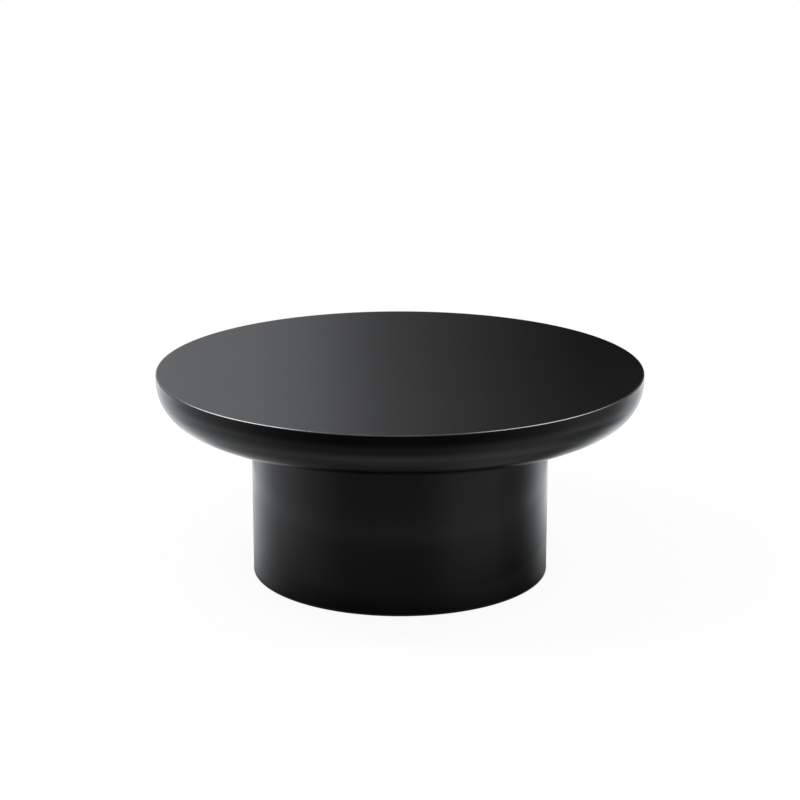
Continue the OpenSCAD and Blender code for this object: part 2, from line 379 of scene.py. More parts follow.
def hexagon(flats, low, high, both_ends=True):
    """A hexagonal head, chamfered at its lower end or at both ends."""
    corner = flats / math.sqrt(3)
    slope = math.radians(30)
    start_clean()
    bpy.ops.mesh.primitive_cylinder_add(
        vertices=6, radius=corner, depth=high - low, location=(0, 0, (low + high) / 2),
        rotation=(0, 0, FULL_TURN / 12),
    )
    piece = fresh()
    rim, clear = flats / 2 * 0.97, corner * BLANK_MARGIN
    drop = (corner - rim) * math.tan(slope)
    outline = [(rim, low), (clear, low + drop)]
    outline += [(clear, high - drop), (rim, high)] if both_ends else [(clear, high)]
    cut(piece, lathe(outline, HEAD_STEPS), "INTERSECT")
    smooth(piece)
    return piece


def top_outline(sizes):
    """The section of the top, from the middle of its upper face round the edge to its underside."""
    top_z, base_z = TABLE_TOP_Z, UNDERSIDE_Z
    ease, bull_r, under_r = sizes.edge_ease, sizes.bullnose_radius, sizes.under_radius
    bend = sizes.bullnose_angle
    bull_x = sizes.radius - bull_r
    bull_z = base_z + bull_r * math.sin(bend) + under_r * (1 - math.sin(bend))
    under_x = bull_x - (under_r - bull_r) * math.cos(bend)
    ease_x, ease_z = sizes.radius - ease, top_z - ease
    hold = 0.001
    quarter = math.pi / 2
    points = [(ease_x - hold, top_z), (ease_x, top_z)]
    points += arc(ease_x, ease_z, ease, quarter, 0, 12)
    points += [(sizes.radius, ease_z - hold), (sizes.radius, bull_z + hold), (sizes.radius, bull_z)]
    points += arc(bull_x, bull_z, bull_r, 0, -bend, 36)
    points += arc(under_x, base_z + under_r, under_r, -bend, -quarter, 16)
    points += [(under_x - hold, base_z)]
    return points


def heights(node):
    """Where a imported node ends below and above."""
    return (corner.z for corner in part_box(node))


def dress(pieces, name, look, slot, *nodes, body="table"):
    """Makes pieces one and names it, gives it its finish, hangs it on what it rides, and hides the
    imported nodes that it stands for.
    """
    piece = join(name, *pieces)
    piece.data.materials.clear()
    piece.data.materials.append(finish(look))
    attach(piece, body)
    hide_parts(*nodes)


class TABLE_OT_top(Operator):
    """Model the lacquered top as one seamless piece"""

    bl_idname = "table.make_top"
    bl_label = "Top"

    def execute(self, context):
        sizes = context.scene.table_top
        joint = context.scene.table_joint
        piece = join("tabletop", lathe(top_outline(sizes), sizes.segments))
        piece.data.materials.append(finish("satin_black_lacquer"))
        hollow, low = sizes.cavity_radius, UNDERSIDE_Z - STAND_OUT
        levels = (UNDERSIDE_Z + sizes.panel, TABLE_TOP_Z - sizes.panel)
        cavity = lathe([(hollow, z) for z in levels], DISC_STEPS)
        drilled = (
            (joint.insert_radius, "top_inserts", joint.bolts, 0.0),
            (joint.dowel_radius, "locating_dowels", joint.dowels, joint.dowel_angle),
        )
        holes = []
        for radius, node, count, first in drilled:
            outline = [(radius, low), (radius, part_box(node)[1].z)]
            holes += set_out(lathe(outline, BORE_STEPS), count, joint.circle, first)
        for tool in (cavity, join("holes", *holes)):
            tool.data.materials.append(finish("raw_fibreboard"))
            cut(piece, tool)
        smooth(piece)
        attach(piece, "table")
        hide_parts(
            "top_panel", "rim_ring_upper", "rim_ring_middle", "rim_ring_lower",
            "bottom_panel",
        )
        return {"FINISHED"}


class TABLE_OT_drum(Operator):
    """Model the lacquered skin of the drum"""

    bl_idname = "table.make_drum"
    bl_label = "Drum"

    def execute(self, context):
        sizes = context.scene.table_drum
        outer, inner, ease = sizes.radius, sizes.radius - sizes.wall, sizes.edge_ease
        low, high = DRUM_LOW_Z, UNDERSIDE_Z
        hold = 0.0005
        outline = [(inner, high), (outer, high), (outer, low + ease + hold), (outer, low + ease)]
        outline += arc(outer - ease, low + ease, ease, 0, -math.pi / 2, 8)
        outline += [(outer - ease - hold, low), (inner, low), (inner, high)]
        skin = lathe(outline, sizes.segments)
        dress([skin], "drum", "satin_black_lacquer", "lacquer", "drum_skin")
        return {"FINISHED"}


class TABLE_OT_bolts(Operator):
    """Model the hexagon bolts and the washers that hold the top to the drum"""

    bl_idname = "table.make_bolts"
    bl_label = "Bolts and washers"

    def execute(self, context):
        sizes = context.scene.table_joint
        low, tip = heights("joint_bolts")
        seat, bearing = heights("bolt_washers")
        head = hexagon(sizes.head_flats, low, seat, both_ends=False)
        shank = thread(sizes.thread_radius, sizes.pitch, seat - OVERLAP, tip, chamfer=0.0006)
        bolts = set_out(join("bolt", head, shank), sizes.bolts, sizes.circle)
        dress(bolts, "hex_bolts", "zinc_plating", "zinc", "joint_bolts")
        outer, inner, edge = sizes.washer_radius, sizes.washer_bore, 0.0002
        outline = [
            (outer, seat + edge), (outer, bearing - edge), (outer - edge, bearing),
            (inner + edge, bearing), (inner, bearing - edge), (inner, seat + edge),
            (inner + edge, seat), (outer - edge, seat), (outer, seat + edge),
        ]
        washers = set_out(lathe(outline, RING_STEPS), sizes.bolts, sizes.circle)
        dress(washers, "flat_washers", "zinc_plating", "zinc", "bolt_washers")
        return {"FINISHED"}


def insert(sizes, low, high):
    """A brass insert with a coarse thread outside and a machine thread in its bore."""
    outer, rise = sizes.insert_radius, sizes.insert_pitch
    piece = thread(outer, rise, low, high, depth=0.0009, chamfer=0.0007)
    start, end, bore = low - STAND_OUT, high + STAND_OUT, sizes.insert_bore
    cut(piece, lathe([(bore, start), (bore, end)], 2 * THREAD_STEPS))
    groove = 0.0004
    cut(piece, thread(bore + groove, sizes.pitch, start, end))
    smooth(piece)
    return piece


def fluted_dowel(sizes):
    """A dowel with chamfered ends, and a flute where every third of its corners is drawn in."""
    low, high = heights("locating_dowels")
    radius, edge, flute_depth = sizes.dowel_radius, 0.001, 0.08
    steps = 3 * sizes.flutes
    step = FULL_TURN / steps
    dowel = lathe([
        (radius - edge, low), (radius, low + edge), (radius, high - edge), (radius - edge, high)
    ], steps)
    only(dowel)
    for corner in dowel.data.vertices:
        place = round(math.atan2(corner.co.y, corner.co.x) / step + 0.5)
        corner.select = place % 3 == 0 and low < corner.co.z < high
    bpy.ops.object.mode_set(mode="EDIT")
    bpy.ops.mesh.select_mode(type="VERT")
    shrink = 1 - flute_depth
    bpy.ops.transform.resize(value=(shrink, shrink, 1), center_override=(0, 0, 0))
    smooth(dowel)
    return dowel


class TABLE_OT_inserts(Operator):
    """Model the threaded inserts of the top and of the feet, and the fluted dowels"""

    bl_idname = "table.make_inserts"
    bl_label = "Inserts and dowels"

    def execute(self, context):
        sizes, foot = context.scene.table_joint, context.scene.table_foot
        rings = (
            ("threaded_inserts", "top_inserts", sizes.bolts, sizes.circle),
            ("foot_inserts", "leveller_inserts", foot.feet, foot.circle),
        )
        for name, node, count, circle in rings:
            inserts = set_out(insert(sizes, *heights(node)), count, circle)
            dress(inserts, name, "turned_brass", "brass", node)
        dowels = set_out(fluted_dowel(sizes), sizes.dowels, sizes.circle, sizes.dowel_angle)
        dress(dowels, "fluted_dowels", "beech_wood", "beech", "locating_dowels")
        return {"FINISHED"}


def wood_screw(sizes):
    """A countersunk screw that points down from its head's face at height 0."""
    tip, tail, neck = -sizes.total, sizes.point - sizes.total, -sizes.shank
    head, shank, core_r, outer = (
        sizes.head_radius, sizes.shank_radius, sizes.core_radius, sizes.thread_radius
    )
    sharp, edge, taper, sunk = 0.0001, 0.0002, 0.001, 0.0001
    core = lathe([
        (head, 0), (head, -edge), (shank, -sizes.head_depth), (shank, neck),
        (core_r, neck - taper), (core_r, tail), (sharp, tip),
    ], BORE_STEPS)
    worm = thread(outer, sizes.pitch, tip, neck, depth=outer - core_r + sunk)
    clear = outer * BLANK_MARGIN
    blank = lathe([(sharp, tip), (clear, tail), (clear, neck)], 2 * THREAD_STEPS)
    cut(worm, blank, "INTERSECT")
    smooth(worm)
    for turn in (0, math.pi / 2):
        start_clean()
        bpy.ops.mesh.primitive_cube_add(
            size=1, location=(0, 0, 0), rotation=(0, 0, turn),
            scale=(sizes.recess_length, sizes.recess_width, 2 * sizes.recess_depth),
        )
        cut(core, fresh())
    smooth(core)
    return join("wood_screw", core, worm)


class TABLE_OT_screws(Operator):
    """Model the wood screws that hold the battens to the two formers"""

    bl_idname = "table.make_screws"
    bl_label = "Wood screws"

    def execute(self, context):
        sizes = context.scene.table_screw
        rings = (
            ("upper_wood_screws", "top_former_screws", 1, 0.0),
            ("lower_wood_screws", "bottom_former_screws", 0, math.pi),
        )
        for name, node, end, tilt in rings:
            screw = wood_screw(sizes)
            screw.location, screw.rotation_euler = (0, 0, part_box(node)[end].z), (tilt, 0, 0)
            settle(screw)
            ring = set_out(screw, sizes.screws, sizes.circle, math.pi / sizes.screws)
            dress(ring, name, "zinc_plating", "zinc", node)
        return {"FINISHED"}


def foot_stem(sizes):
    """A threaded stem with its hexagonal collar and the flange that the pad holds."""
    low, high = heights("leveller_stem_1")
    collar_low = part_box("leveller_pad_1")[1].z + sizes.swivel_gap
    collar_high = collar_low + sizes.collar
    flange, neck = sizes.flange_radius, sizes.thread_radius
    flange_top, edge = low + sizes.flange, 0.0002
    base = lathe([
        (flange - edge, low), (flange, low + edge), (flange, flange_top - edge),
        (flange - edge, flange_top), (neck, flange_top), (neck, collar_low + OVERLAP),
    ], RING_STEPS)
    collar = hexagon(sizes.collar_flats, collar_low, collar_high)
    screw = thread(neck, sizes.pitch, collar_high - OVERLAP, high, chamfer=sizes.tip_chamfer)
    return join("stem", base, collar, screw)


def foot_pad(sizes):
    """A moulded pad that holds the stem's flange in a cavity, with a rounded upper edge."""
    low, high = heights("leveller_pad_1")
    outer, bend, edge = sizes.pad_radius, sizes.pad_round, 0.0003
    bore = sizes.thread_radius + sizes.neck_gap
    cavity = sizes.flange_radius + sizes.swivel_gap
    floor = low + sizes.pad_floor
    ceiling = floor + sizes.flange + 2 * sizes.swivel_gap
    outline = [(outer - edge, low), (outer, low + edge), (outer, high - bend)]
    outline += arc(outer - bend, high - bend, bend, 0, math.pi / 2, 8)
    outline += [(bore + edge, high), (bore, high - edge)]
    outline += [(bore, ceiling), (cavity, ceiling), (cavity, floor)]
    return lathe(outline, DISC_STEPS)


def foot_felt(sizes):
    """A disc of felt with a rounded lower edge."""
    low, high = heights("leveller_felt_1")
    outer, bend, hold, edge = sizes.felt_radius, sizes.felt_round, 0.0004, 0.0003
    outline = [(outer - bend - hold, low), (outer - bend, low)]
    outline += arc(outer - bend, low + bend, bend, -math.pi / 2, 0, 6)
    outline += [(outer, high - edge), (outer - edge, high)]
    return lathe(outline, DISC_STEPS)


class TABLE_OT_feet(Operator):
    """Model the stems, the pads and the felts of the levelling feet"""

    bl_idname = "table.make_feet"
    bl_label = "Levelling feet"

    def execute(self, context):
        sizes = context.scene.table_foot
        parts = (
            ("stem", foot_stem, "zinc_plating", "zinc", "stem"),
            ("pad", foot_pad, "moulded_nylon", "pad", "foot"),
            ("felt", foot_felt, "grey_felt", "felt", "foot"),
        )
        for part, make, look, slot, body in parts:
            for k, piece in enumerate(set_out(make(sizes), sizes.feet, sizes.circle), 1):
                name, node = f"foot_{part}_{k}", f"leveller_{part}_{k}"
                dress([piece], name, look, slot, node, body=f"{body}_{k}")
        return {"FINISHED"}


class TABLE_OT_inner_parts(Operator):
    """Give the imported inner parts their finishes"""

    bl_idname = "table.finish_inner_parts"
    bl_label = "Inner parts"

    def execute(self, context):
        for name, nodes in INNER_PARTS.items():
            for node in nodes:
                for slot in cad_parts[node].material_slots:
                    slot.material = finish(name)
        return {"FINISHED"}


INNER_PARTS = {
    "raw_fibreboard": ("core_hub", "core_ribs"),
    "flat_plywood": ("drum_top_former", "drum_bottom_former"),
    "bent_plywood": ("drum_shell",),
    "upright_pine": ("drum_battens",),
    "flat_pine": ("insert_blocks",),
}
# Noise mostly lies between these
MOST = (0.3, 0.7)
WHITE = (1, 1, 1, 1)
# What shows in reflections is very slightly cool
COOL_WHITE = (0.95, 0.97, 1.0, 1.0)


class NodeTree:
    """Builds the node tree of a material or the world, a node at a time.

    What goes into a node is a plain value, or the output socket of another node."""

    def __init__(self, owner):
        owner.use_nodes = True
        self.tree = owner.node_tree
        self.tree.nodes.clear()
        world = isinstance(owner, bpy.types.World)
        self.light_kind = "Background" if world else "Emission"
        self.end_kind = "OutputWorld" if world else "OutputMaterial"
        coordinates = self.add("TexCoord")
        # Where a point of the object lies, and in the world's tree the way that a ray goes
        self.place, self.ray = coordinates["Object"], coordinates["Generated"]

    def add(self, kind, inputs=None, **settings):
        """Adds a shader node, and returns its outputs."""
        node = self.tree.nodes.new("ShaderNode" + kind)
        for key, value in settings.items():
            setattr(node, key, value)
        for key, value in (inputs or {}).items():
            if isinstance(value, bpy.types.NodeSocket):
                self.tree.links.new(value, node.inputs[key])
            else:
                node.inputs[key].default_value = value
        return node.outputs

    def math(self, operation, result, *values):
        """The result of a maths node, or of a row of them where there are more values."""
        for value in values or (0.0,):
            result = self.add("Math", {0: result, 1: value}, operation=operation)[0]
        return result

    def ramp(self, value, start, end, first=0.0, last=1.0, kind="SMOOTHSTEP"):
        """Goes from first to last, with soft ends, as the value goes from start to end."""
        inputs = {
            "Value": value, "From Min": start, "From Max": end, "To Min": first, "To Max": last
        }
        return self.add("MapRange", inputs, interpolation_type=kind)["Result"]

    def steps(self, value, level, *rows):
        """A level that changes by the value: each row says from where, to where and how much."""
        for start, end, more in rows:
            level = self.math("ADD", level, self.ramp(value, start, end, 0.0, more))
        return level

    def axes(self, vector=None):
        """The X, Y and Z of a vector, or of the place."""
        parts = self.add("SeparateXYZ", {"Vector": vector or self.place})
        return parts["X"], parts["Y"], parts["Z"]

    def from_axis(self):
        """How far a place is from the Z axis."""
        x, y, _ = self.axes()
        flat = self.add("CombineXYZ", {"X": x, "Y": y})[0]
        return self.add("VectorMath", {0: flat}, operation="LENGTH")["Value"]

    def noise(self, scale, detail=3.0, rough=0.5, stretch=(1, 1, 1)):
        """Noise, stretched where a grain runs."""
        mapped = self.add("Mapping", {"Vector": self.place, "Scale": stretch})["Vector"]
        inputs = {"Vector": mapped, "Scale": scale, "Detail": detail, "Roughness": rough}
        return self.add("TexNoise", inputs)["Fac"]

    def mix_values(self, share, first, second):
        """A value between two."""
        return self.add("Mix", {"Factor": share, 2: first, 3: second})[0]

    def mix_colours(self, share, first, second):
        """A colour between two."""
        plain = bpy.types.NodeSocket
        pair = [tone if isinstance(tone, plain) else (*tone, 1) for tone in (first, second)]
        inputs = {"Factor": share, 6: pair[0], 7: pair[1]}
        return self.add("Mix", inputs, data_type="RGBA")[2]

    def mix_shaders(self, share, first, second):
        """A shader between two."""
        return self.add("MixShader", {"Fac": share, 1: first, 2: second})[0]

    def light(self, strength, tint=WHITE):
        """A shader that only gives off light."""
        return self.add(self.light_kind, {"Color": tint, "Strength": strength})[0]

    def clear(self):
        """A shader that lets all through."""
        return self.add("BsdfTransparent")[0]

    def rays(self):
        """Whether a ray comes straight from the camera, and whether it comes from a gloss."""
        path = self.add("LightPath")
        direct = self.math("MAXIMUM", path["Is Camera Ray"], path["Is Transmission Ray"])
        return direct, path["Is Glossy Ray"]

    def surface(self, tone, sheen, roughness, relief, strength, distance, **sockets):
        """Ends a finish with a principled shader. One noise sets where between two values its
        roughness lies, and one is its relief."""
        bumps = {"Height": relief, "Strength": strength, "Distance": distance}
        values = {
            "Base Color": tone, "Roughness": self.ramp(sheen, *MOST, *roughness),
            "Normal": self.add("Bump", bumps)["Normal"],
        }
        values.update({name.replace("_", " "): value for name, value in sockets.items()})
        self.end(self.add("BsdfPrincipled", values)["BSDF"])

    def end(self, shader):
        """Makes this shader what shows."""
        self.add(self.end_kind, {"Surface": shader})


def shaded(tint, factor):
    """A colour made lighter or darker."""
    return tuple(part * factor for part in tint)


def lacquer(tree, colours):
    """Satin black lacquer with a faint orange peel, and a painted highlight along the eased edge: a
    lighter band of metal.
    """
    sizes = bpy.context.scene.table_top
    peel = tree.noise(scale=260, detail=2, rough=0.4)
    waves = tree.noise(scale=9, detail=2)
    highlight_noise = tree.noise(scale=35, rough=0.6)
    side, soft_side, soft_up = sizes.radius - sizes.edge_ease, 0.0003, 0.0002
    middle = TABLE_TOP_Z - sizes.edge_ease / 2
    # Painted highlight: a lighter, metallic band on the upper half of the eased edge, broken a
    # little by noise, stands in for the highlight there
    out = tree.ramp(tree.from_axis(), side, side + soft_side)
    up = tree.ramp(tree.axes()[2], middle - soft_up, middle + soft_up)
    edge = tree.math("MULTIPLY", out, up, tree.ramp(highlight_noise, *MOST, 0.85, 1.0))
    tone = tree.mix_colours(edge, colours.lacquer, colours.painted_edge_highlight)
    tree.surface(tone, waves, (0.15, 0.18), peel, 0.02, distance=0.001, Metallic=edge, IOR=1.5)


def metal(tree, colours, kind, low, high):
    """Plated or turned metal: a cloudy sheen and fine tool marks."""
    tint = getattr(colours, kind)
    clouds = tree.noise(scale=90, detail=4)
    marks = tree.noise(scale=1400, detail=2, rough=0.6)
    tone = tree.mix_colours(clouds, shaded(tint, 0.82), shaded(tint, 1.08))
    tree.surface(tone, clouds, (low, high), marks, 0.12, distance=0.0002, Metallic=1.0)


def fibreboard(tree, colours):
    """Raw fibreboard: pressed fibres in two tones."""
    fibres = tree.noise(scale=700, detail=5, rough=0.7)
    patches = tree.noise(scale=45)
    light, dark, worn = (shaded(colours.fibreboard, factor) for factor in (1.2, 0.72, 0.9))
    speckled = tree.mix_colours(tree.ramp(fibres, 0.35, 0.65), dark, light)
    tone = tree.mix_colours(tree.ramp(patches, *MOST, 0.0, 0.3), speckled, worn)
    tree.surface(tone, fibres, (0.75, 0.9), fibres, 0.3, distance=0.0004)


def plywood(tree, colours, bent):
    """Plywood: veneers that cross each other, stacked upwards or, if bent, from inside out."""
    ply, offset = 0.0015, 0.0004
    depth = tree.from_axis() if bent else tree.axes()[2]
    grains = ((60, 60, 2.5), (6, 6, 90)) if bent else ((3, 70, 70), (70, 3, 70))
    level = tree.math("DIVIDE", tree.math("ADD", depth, offset), ply)
    odd = tree.math("PINGPONG", tree.math("FLOOR", level), 1.0)
    within = tree.math("FRACT", level)
    glue = tree.math(
        "MAXIMUM", tree.ramp(within, 0.0, 0.1, 1.0, 0.0), tree.ramp(within, 0.9, 1.0)
    )
    along, across = (tree.noise(12, 5, 0.6, stretch=grain) for grain in grains)
    light, dark = (
        tree.mix_colours(tree.ramp(grain, 0.35, 0.68), veneer, shaded(veneer, 0.74))
        for grain, veneer in ((along, colours.ply_light), (across, colours.ply_dark))
    )
    stacked = tree.mix_colours(odd, light, dark)
    line = shaded(colours.ply_dark, 0.35)
    tone = tree.mix_colours(tree.math("MULTIPLY", glue, 0.6), stacked, line)
    tree.surface(tone, along, (0.55, 0.72), along, 0.15, distance=0.0004)


def pine(tree, colours, stretch, axis):
    """Pine with growth rings along one axis."""
    fibres = tree.noise(scale=20, detail=5, rough=0.65, stretch=stretch)
    wave = {
        "Vector": tree.place, "Scale": 55.0, "Distortion": 3.5, "Detail": 2.0, "Detail Scale": 0.6
    }
    rings = tree.add(
        "TexWave", wave, wave_type="RINGS", rings_direction=axis, wave_profile="SAW"
    )["Fac"]
    late = tree.ramp(rings, 0.45, 1.0, 0.0, 0.75)
    ringed = tree.mix_colours(late, colours.pine, colours.pine_ring)
    streak = shaded(colours.pine_ring, 0.8)
    tone = tree.mix_colours(tree.ramp(fibres, 0.4, 0.75, 0.0, 0.35), ringed, streak)
    tree.surface(tone, fibres, (0.55, 0.7), fibres, 0.2, distance=0.0004)


def beech(tree, colours):
    """Beech with short dark flecks along the dowel."""
    flecks = tree.noise(scale=60, rough=0.6, stretch=(18, 18, 1.5))
    fibres = tree.noise(scale=60, detail=4, rough=0.6, stretch=(30, 30, 1))
    base = tree.mix_colours(fibres, shaded(colours.beech, 0.85), shaded(colours.beech, 1.1))
    tone = tree.mix_colours(tree.ramp(flecks, 0.6, 0.72, 0.0, 0.8), base, colours.beech_fleck)
    tree.surface(tone, fibres, (0.5, 0.65), fibres, 0.2, distance=0.0003)


def nylon(tree, colours):
    """Black moulded nylon with a fine eroded texture."""
    grain = tree.noise(scale=1800, rough=0.6)
    cloud = tree.noise(scale=120, detail=2)
    tone = tree.mix_colours(cloud, shaded(colours.pad, 0.8), shaded(colours.pad, 1.25))
    tree.surface(tone, grain, (0.42, 0.58), grain, 0.2, distance=0.0002)


def felt(tree, colours):
    """Pressed felt: tangled fibres, and a soft edge of light."""
    tangle = tree.noise(scale=900, detail=6, rough=0.75)
    strands = tree.noise(scale=420, detail=4, rough=0.7, stretch=(1, 2.4, 1))
    mixed = tree.math("MULTIPLY", tangle, strands)
    dark, light = shaded(colours.felt, 0.5), shaded(colours.felt, 1.7)
    tone = tree.mix_colours(tree.ramp(mixed, 0.15, 0.4), dark, light)
    tree.surface(
        tone, tangle, (0.88, 1.0), mixed, 0.8, distance=0.001,
        Sheen_Weight=0.35, Sheen_Roughness=0.6,
    )


# How each finish is made, with what goes in beside the colours
FINISHES = {
    "satin_black_lacquer": (lacquer,),
    "raw_fibreboard": (fibreboard,),
    "flat_plywood": (plywood, False),
    "bent_plywood": (plywood, True),
    "upright_pine": (pine, (14, 14, 1), "Z"),
    "flat_pine": (pine, (1, 14, 14), "X"),
    "beech_wood": (beech,),
    "zinc_plating": (metal, "zinc", 0.26, 0.4),
    "turned_brass": (metal, "brass", 0.22, 0.34),
    "moulded_nylon": (nylon,),
    "grey_felt": (felt,),
}


def finish(name):
    """The material of that name, which is made when it is first asked for."""
    if name not in bpy.data.materials:
        make, *values = FINISHES[name]
        make(NodeTree(bpy.data.materials.new(name)), bpy.context.scene.table_finish, *values)
    return bpy.data.materials[name]


# Radius and height of the two low rings round the table that only a gloss sees
INNER_RING, OUTER_RING = (0.29, 0.1), (0.6, 0.25)
# For glow_round: how turns spread, what comes on behind, and where the right side brightens
INNER_GLOW = (1.53, 0.35, (105, 165))
OUTER_SPREAD, OUTER_GLOW = 1.2, (0.45, (108, 152))
# Cards that only a gloss sees: name, place, width and strength
GLOSS_CARDS = (
    ("left_card", (-1.35, 0.35, 1.75), 2.0, 5.0),
    ("right_card", (1.15, 0.2, 1.75), 1.9, 3.2),
)
# Where the back card stands, and its width and height
BACK_CARD_PLACE, BACK_CARD_SIZE = (0, 1.2, 0.8), (3.0, 1.4, 1.0)
# Lamps that no gloss sees: name, place, width and watts
SOFTBOXES = (
    ("softbox_left", (-1.0, -0.3, 2.1), 0.6, 35),
    ("softbox_right", (1.1, -0.3, 2.1), 0.5, 18),
)
FLOOR_RADIUS, FLOOR_DROP = 9, 0.0002
SENSOR_WIDTH = 36


def glow_round(tree, spread, behind, rise):
    """How bright the studio is by the way one looks from the table: dim in front, bright behind.

    A way is a turn from the front to the right, in degrees. A surface close by shows it at a
    smaller turn than it lies in, so turns are spread. The right side brightens between the two
    turns of rise. Whatever goes by the way has to be the same at both of its ends, behind."""
    x, y, height = tree.axes()
    lies = tree.math("DEGREES", tree.math("ARCTAN2", x, tree.math("MULTIPLY", y, -1.0)))
    way = tree.math("MULTIPLY", lies, spread)
    left = tree.math("MULTIPLY", way, -1.0)
    front = 0.155
    around = tree.steps(left, front, (30, 130, 0.6), (110, 150, behind))
    around = tree.steps(
        way, around, (8, 45, 0.14), (25, 55, 0.09), (65, 95, -0.09), (78, 92, -0.055),
        (102, 118, 0.055), (*rise, 0.46 + behind),
    )
    return way, height, around


def inner_ring_glow(tree):
    """The shade close to the drum, darkest at the floor, and deeper on the right."""
    way, height, around = glow_round(tree, *INNER_GLOW)
    low = tree.steps(
        way, 0.68, (-150, -95, -0.2), (-85, -45, 0.2), (-60, 130, -0.41), (118, 158, 0.17),
        (195, 270, 0.24),
    )
    reach = tree.steps(way, 0.1, (85, 150, -0.035), (195, 270, 0.035))
    return tree.math("MULTIPLY", around, tree.ramp(height, 0, reach, low, 1.05, "LINEAR"))


def inner_ring_clear(tree):
    """Fades the ring out upwards."""
    top = INNER_RING[1]
    return tree.ramp(tree.axes()[2], 0.7 * top, top)


def outer_ring_glow(tree):
    """The studio low down round the table, which fades upwards, and less so beside the table."""
    way, height, around = glow_round(tree, OUTER_SPREAD, *OUTER_GLOW)
    turn = tree.math("ABSOLUTE", way)
    top = tree.steps(turn, 0.1, (17, 86, 0.55), (95, 130, 0.5))
    level = tree.mix_values(tree.ramp(height, 0.09, 0.2), 1.0, top)
    sides = tree.steps(way, 0.3, (-70, -40, -0.3), (55, 95, 0.95))
    ends, up = tree.ramp(turn, 112, 140, 1.0, 0.0), tree.ramp(height, 0.06, 0.1)
    lift = tree.math("ADD", tree.math("MULTIPLY", sides, ends, up), 1.0)
    dimmed = tree.ramp(turn, 145, 160, 1.0, 0.72)
    return tree.math("MULTIPLY", around, level, lift, dimmed)


def floor_glow(tree, radius, rim):
    """What a gloss sees of the floor: as the rings, brighter in a band in front, darker by the
    drum, but less so on the drum's left and behind it."""
    spread = tree.math(
        "ADD", tree.ramp(radius, 0.2, 0.28, 1.87, 1.46),
        tree.ramp(radius, 0.36, 0.5, 0.0, -0.19, "LINEAR"),
    )
    way, _, around = glow_round(tree, spread, *OUTER_GLOW)
    turn = tree.math("ABSOLUTE", way)
    band = tree.math(
        "MULTIPLY", tree.ramp(radius, 0.27, 0.43, 0.0, 0.3),
        tree.ramp(radius, 0.45, 0.61, 1.0, 0.0), tree.ramp(turn, 0, 92, 1.0, 0.3),
    )
    ring, soft = INNER_RING[0], 0.001
    shade = tree.ramp(radius, rim, ring - soft, 0.16, 0.5, "LINEAR")
    shade = tree.steps(radius, shade, (ring - soft, ring + soft, 0.15), (0.39, 0.46, 0.35))
    inside = tree.ramp(radius, ring - soft, ring + soft, 1.0, 0.0)
    beside = tree.steps(way, 1.0, (-120, -80, -1.0), (185, 235, 1.0))
    lift = tree.ramp(radius, rim, ring, 0.93, 0.22, "LINEAR")
    lifted = tree.math("ADD", tree.math("MULTIPLY", beside, lift, inside), 1.0)
    return tree.math("MULTIPLY", tree.math("ADD", around, band), shade, lifted)


def floor_material():
    """White to the camera with a faint shadow, a painted shade under the drum, and clear from
    below.

    What a gloss reflects of it is graded."""
    material = bpy.data.materials.new("studio_floor")
    tree = NodeTree(material)
    direct, glossy = tree.rays()
    radius, rim, soft = tree.from_axis(), bpy.context.scene.table_drum.radius, 0.001
    # Painted shade: the floor gives off no light inside the drum's radius, so the gap under the
    # drum shows dark
    white_with_painted_shade = tree.light(tree.ramp(radius, rim - soft, rim + soft))
    plain = tree.add("BsdfDiffuse", {"Color": (0.8, 0.8, 0.8, 1)})[0]
    seen = tree.mix_shaders(tree.ramp(radius, 0.5, 1.3, 0.06, 0.0), white_with_painted_shade, plain)
    lit = tree.mix_shaders(direct, tree.light(0.55), seen)
    mirrored = tree.light(floor_glow(tree, radius, rim), COOL_WHITE)
    shown = tree.mix_shaders(glossy, lit, mirrored)
    below = tree.add("NewGeometry")["Backfacing"]
    tree.end(tree.mix_shaders(below, shown, tree.clear()))
    return material


def back_card_glow(tree):
    """Fades from the left to the right, and is brighter higher up."""
    x, _, height = tree.axes()
    fall = tree.ramp(x, -0.5, 0.38, 0.77, 0.175, "LINEAR")
    tone = tree.steps(x, fall, (-0.46, -0.28, 0.075), (-0.2, 0.0, -0.075))
    across = tree.math("POWER", tone, 2.2)
    up = tree.ramp(height, -0.3, -0.05, 0.87, 1.09, "LINEAR")
    glow = tree.steps(height, tree.math("MULTIPLY", across, up), (-0.25, -0.02, 0.028))
    beside = tree.ramp(tree.math("ABSOLUTE", x), 0.65, 1.45)
    edge = tree.math("MAXIMUM", beside, tree.ramp(height, 0.2, 0.68))
    return tree.mix_values(edge, glow, 0.27)


def studio_world():
    """White behind the object, an even light on it, and a soft grey sky in its gloss."""
    world = bpy.data.worlds.new("studio")
    bpy.context.scene.world = world
    tree = NodeTree(world)
    direct, glossy = tree.rays()
    x, y, up = tree.axes(tree.ray)
    ahead, low = tree.ramp(y, -0.85, -0.3, 1.0, 0.0), tree.ramp(up, 0.5, 0.85, 1.0, 0.0)
    tone = tree.mix_values(
        tree.math("MULTIPLY", ahead, low), tree.ramp(x, -0.9, 0.9, 0.34, 0.12),
        tree.ramp(x, -0.45, 0.35, 0.62, 0.14),
    )
    above = tree.math("MULTIPLY", tone, tree.ramp(up, 0.12, 0.42))
    sky = tree.math("MAXIMUM", above, tree.ramp(y, -0.5, 0.9, 0.0, 0.3))
    lit = tree.mix_shaders(glossy, tree.light(0.6), tree.light(sky, COOL_WHITE))
    tree.end(tree.mix_shaders(direct, lit, tree.light(1.0)))


def for_gloss(card, glow, clear=None):
    """Gives a piece a material that only gives off light, and lets it show only in reflections.

    Both its strength and where it is clear go by place."""
    material = bpy.data.materials.new(card.name)
    tree = NodeTree(material)
    shader = tree.light(glow(tree), COOL_WHITE)
    if clear:
        shader = tree.mix_shaders(clear(tree), shader, tree.clear())
    tree.end(shader)
    card.data.materials.append(material)
    card.visible_camera = card.visible_diffuse = False
    card.visible_shadow = card.visible_transmission = False


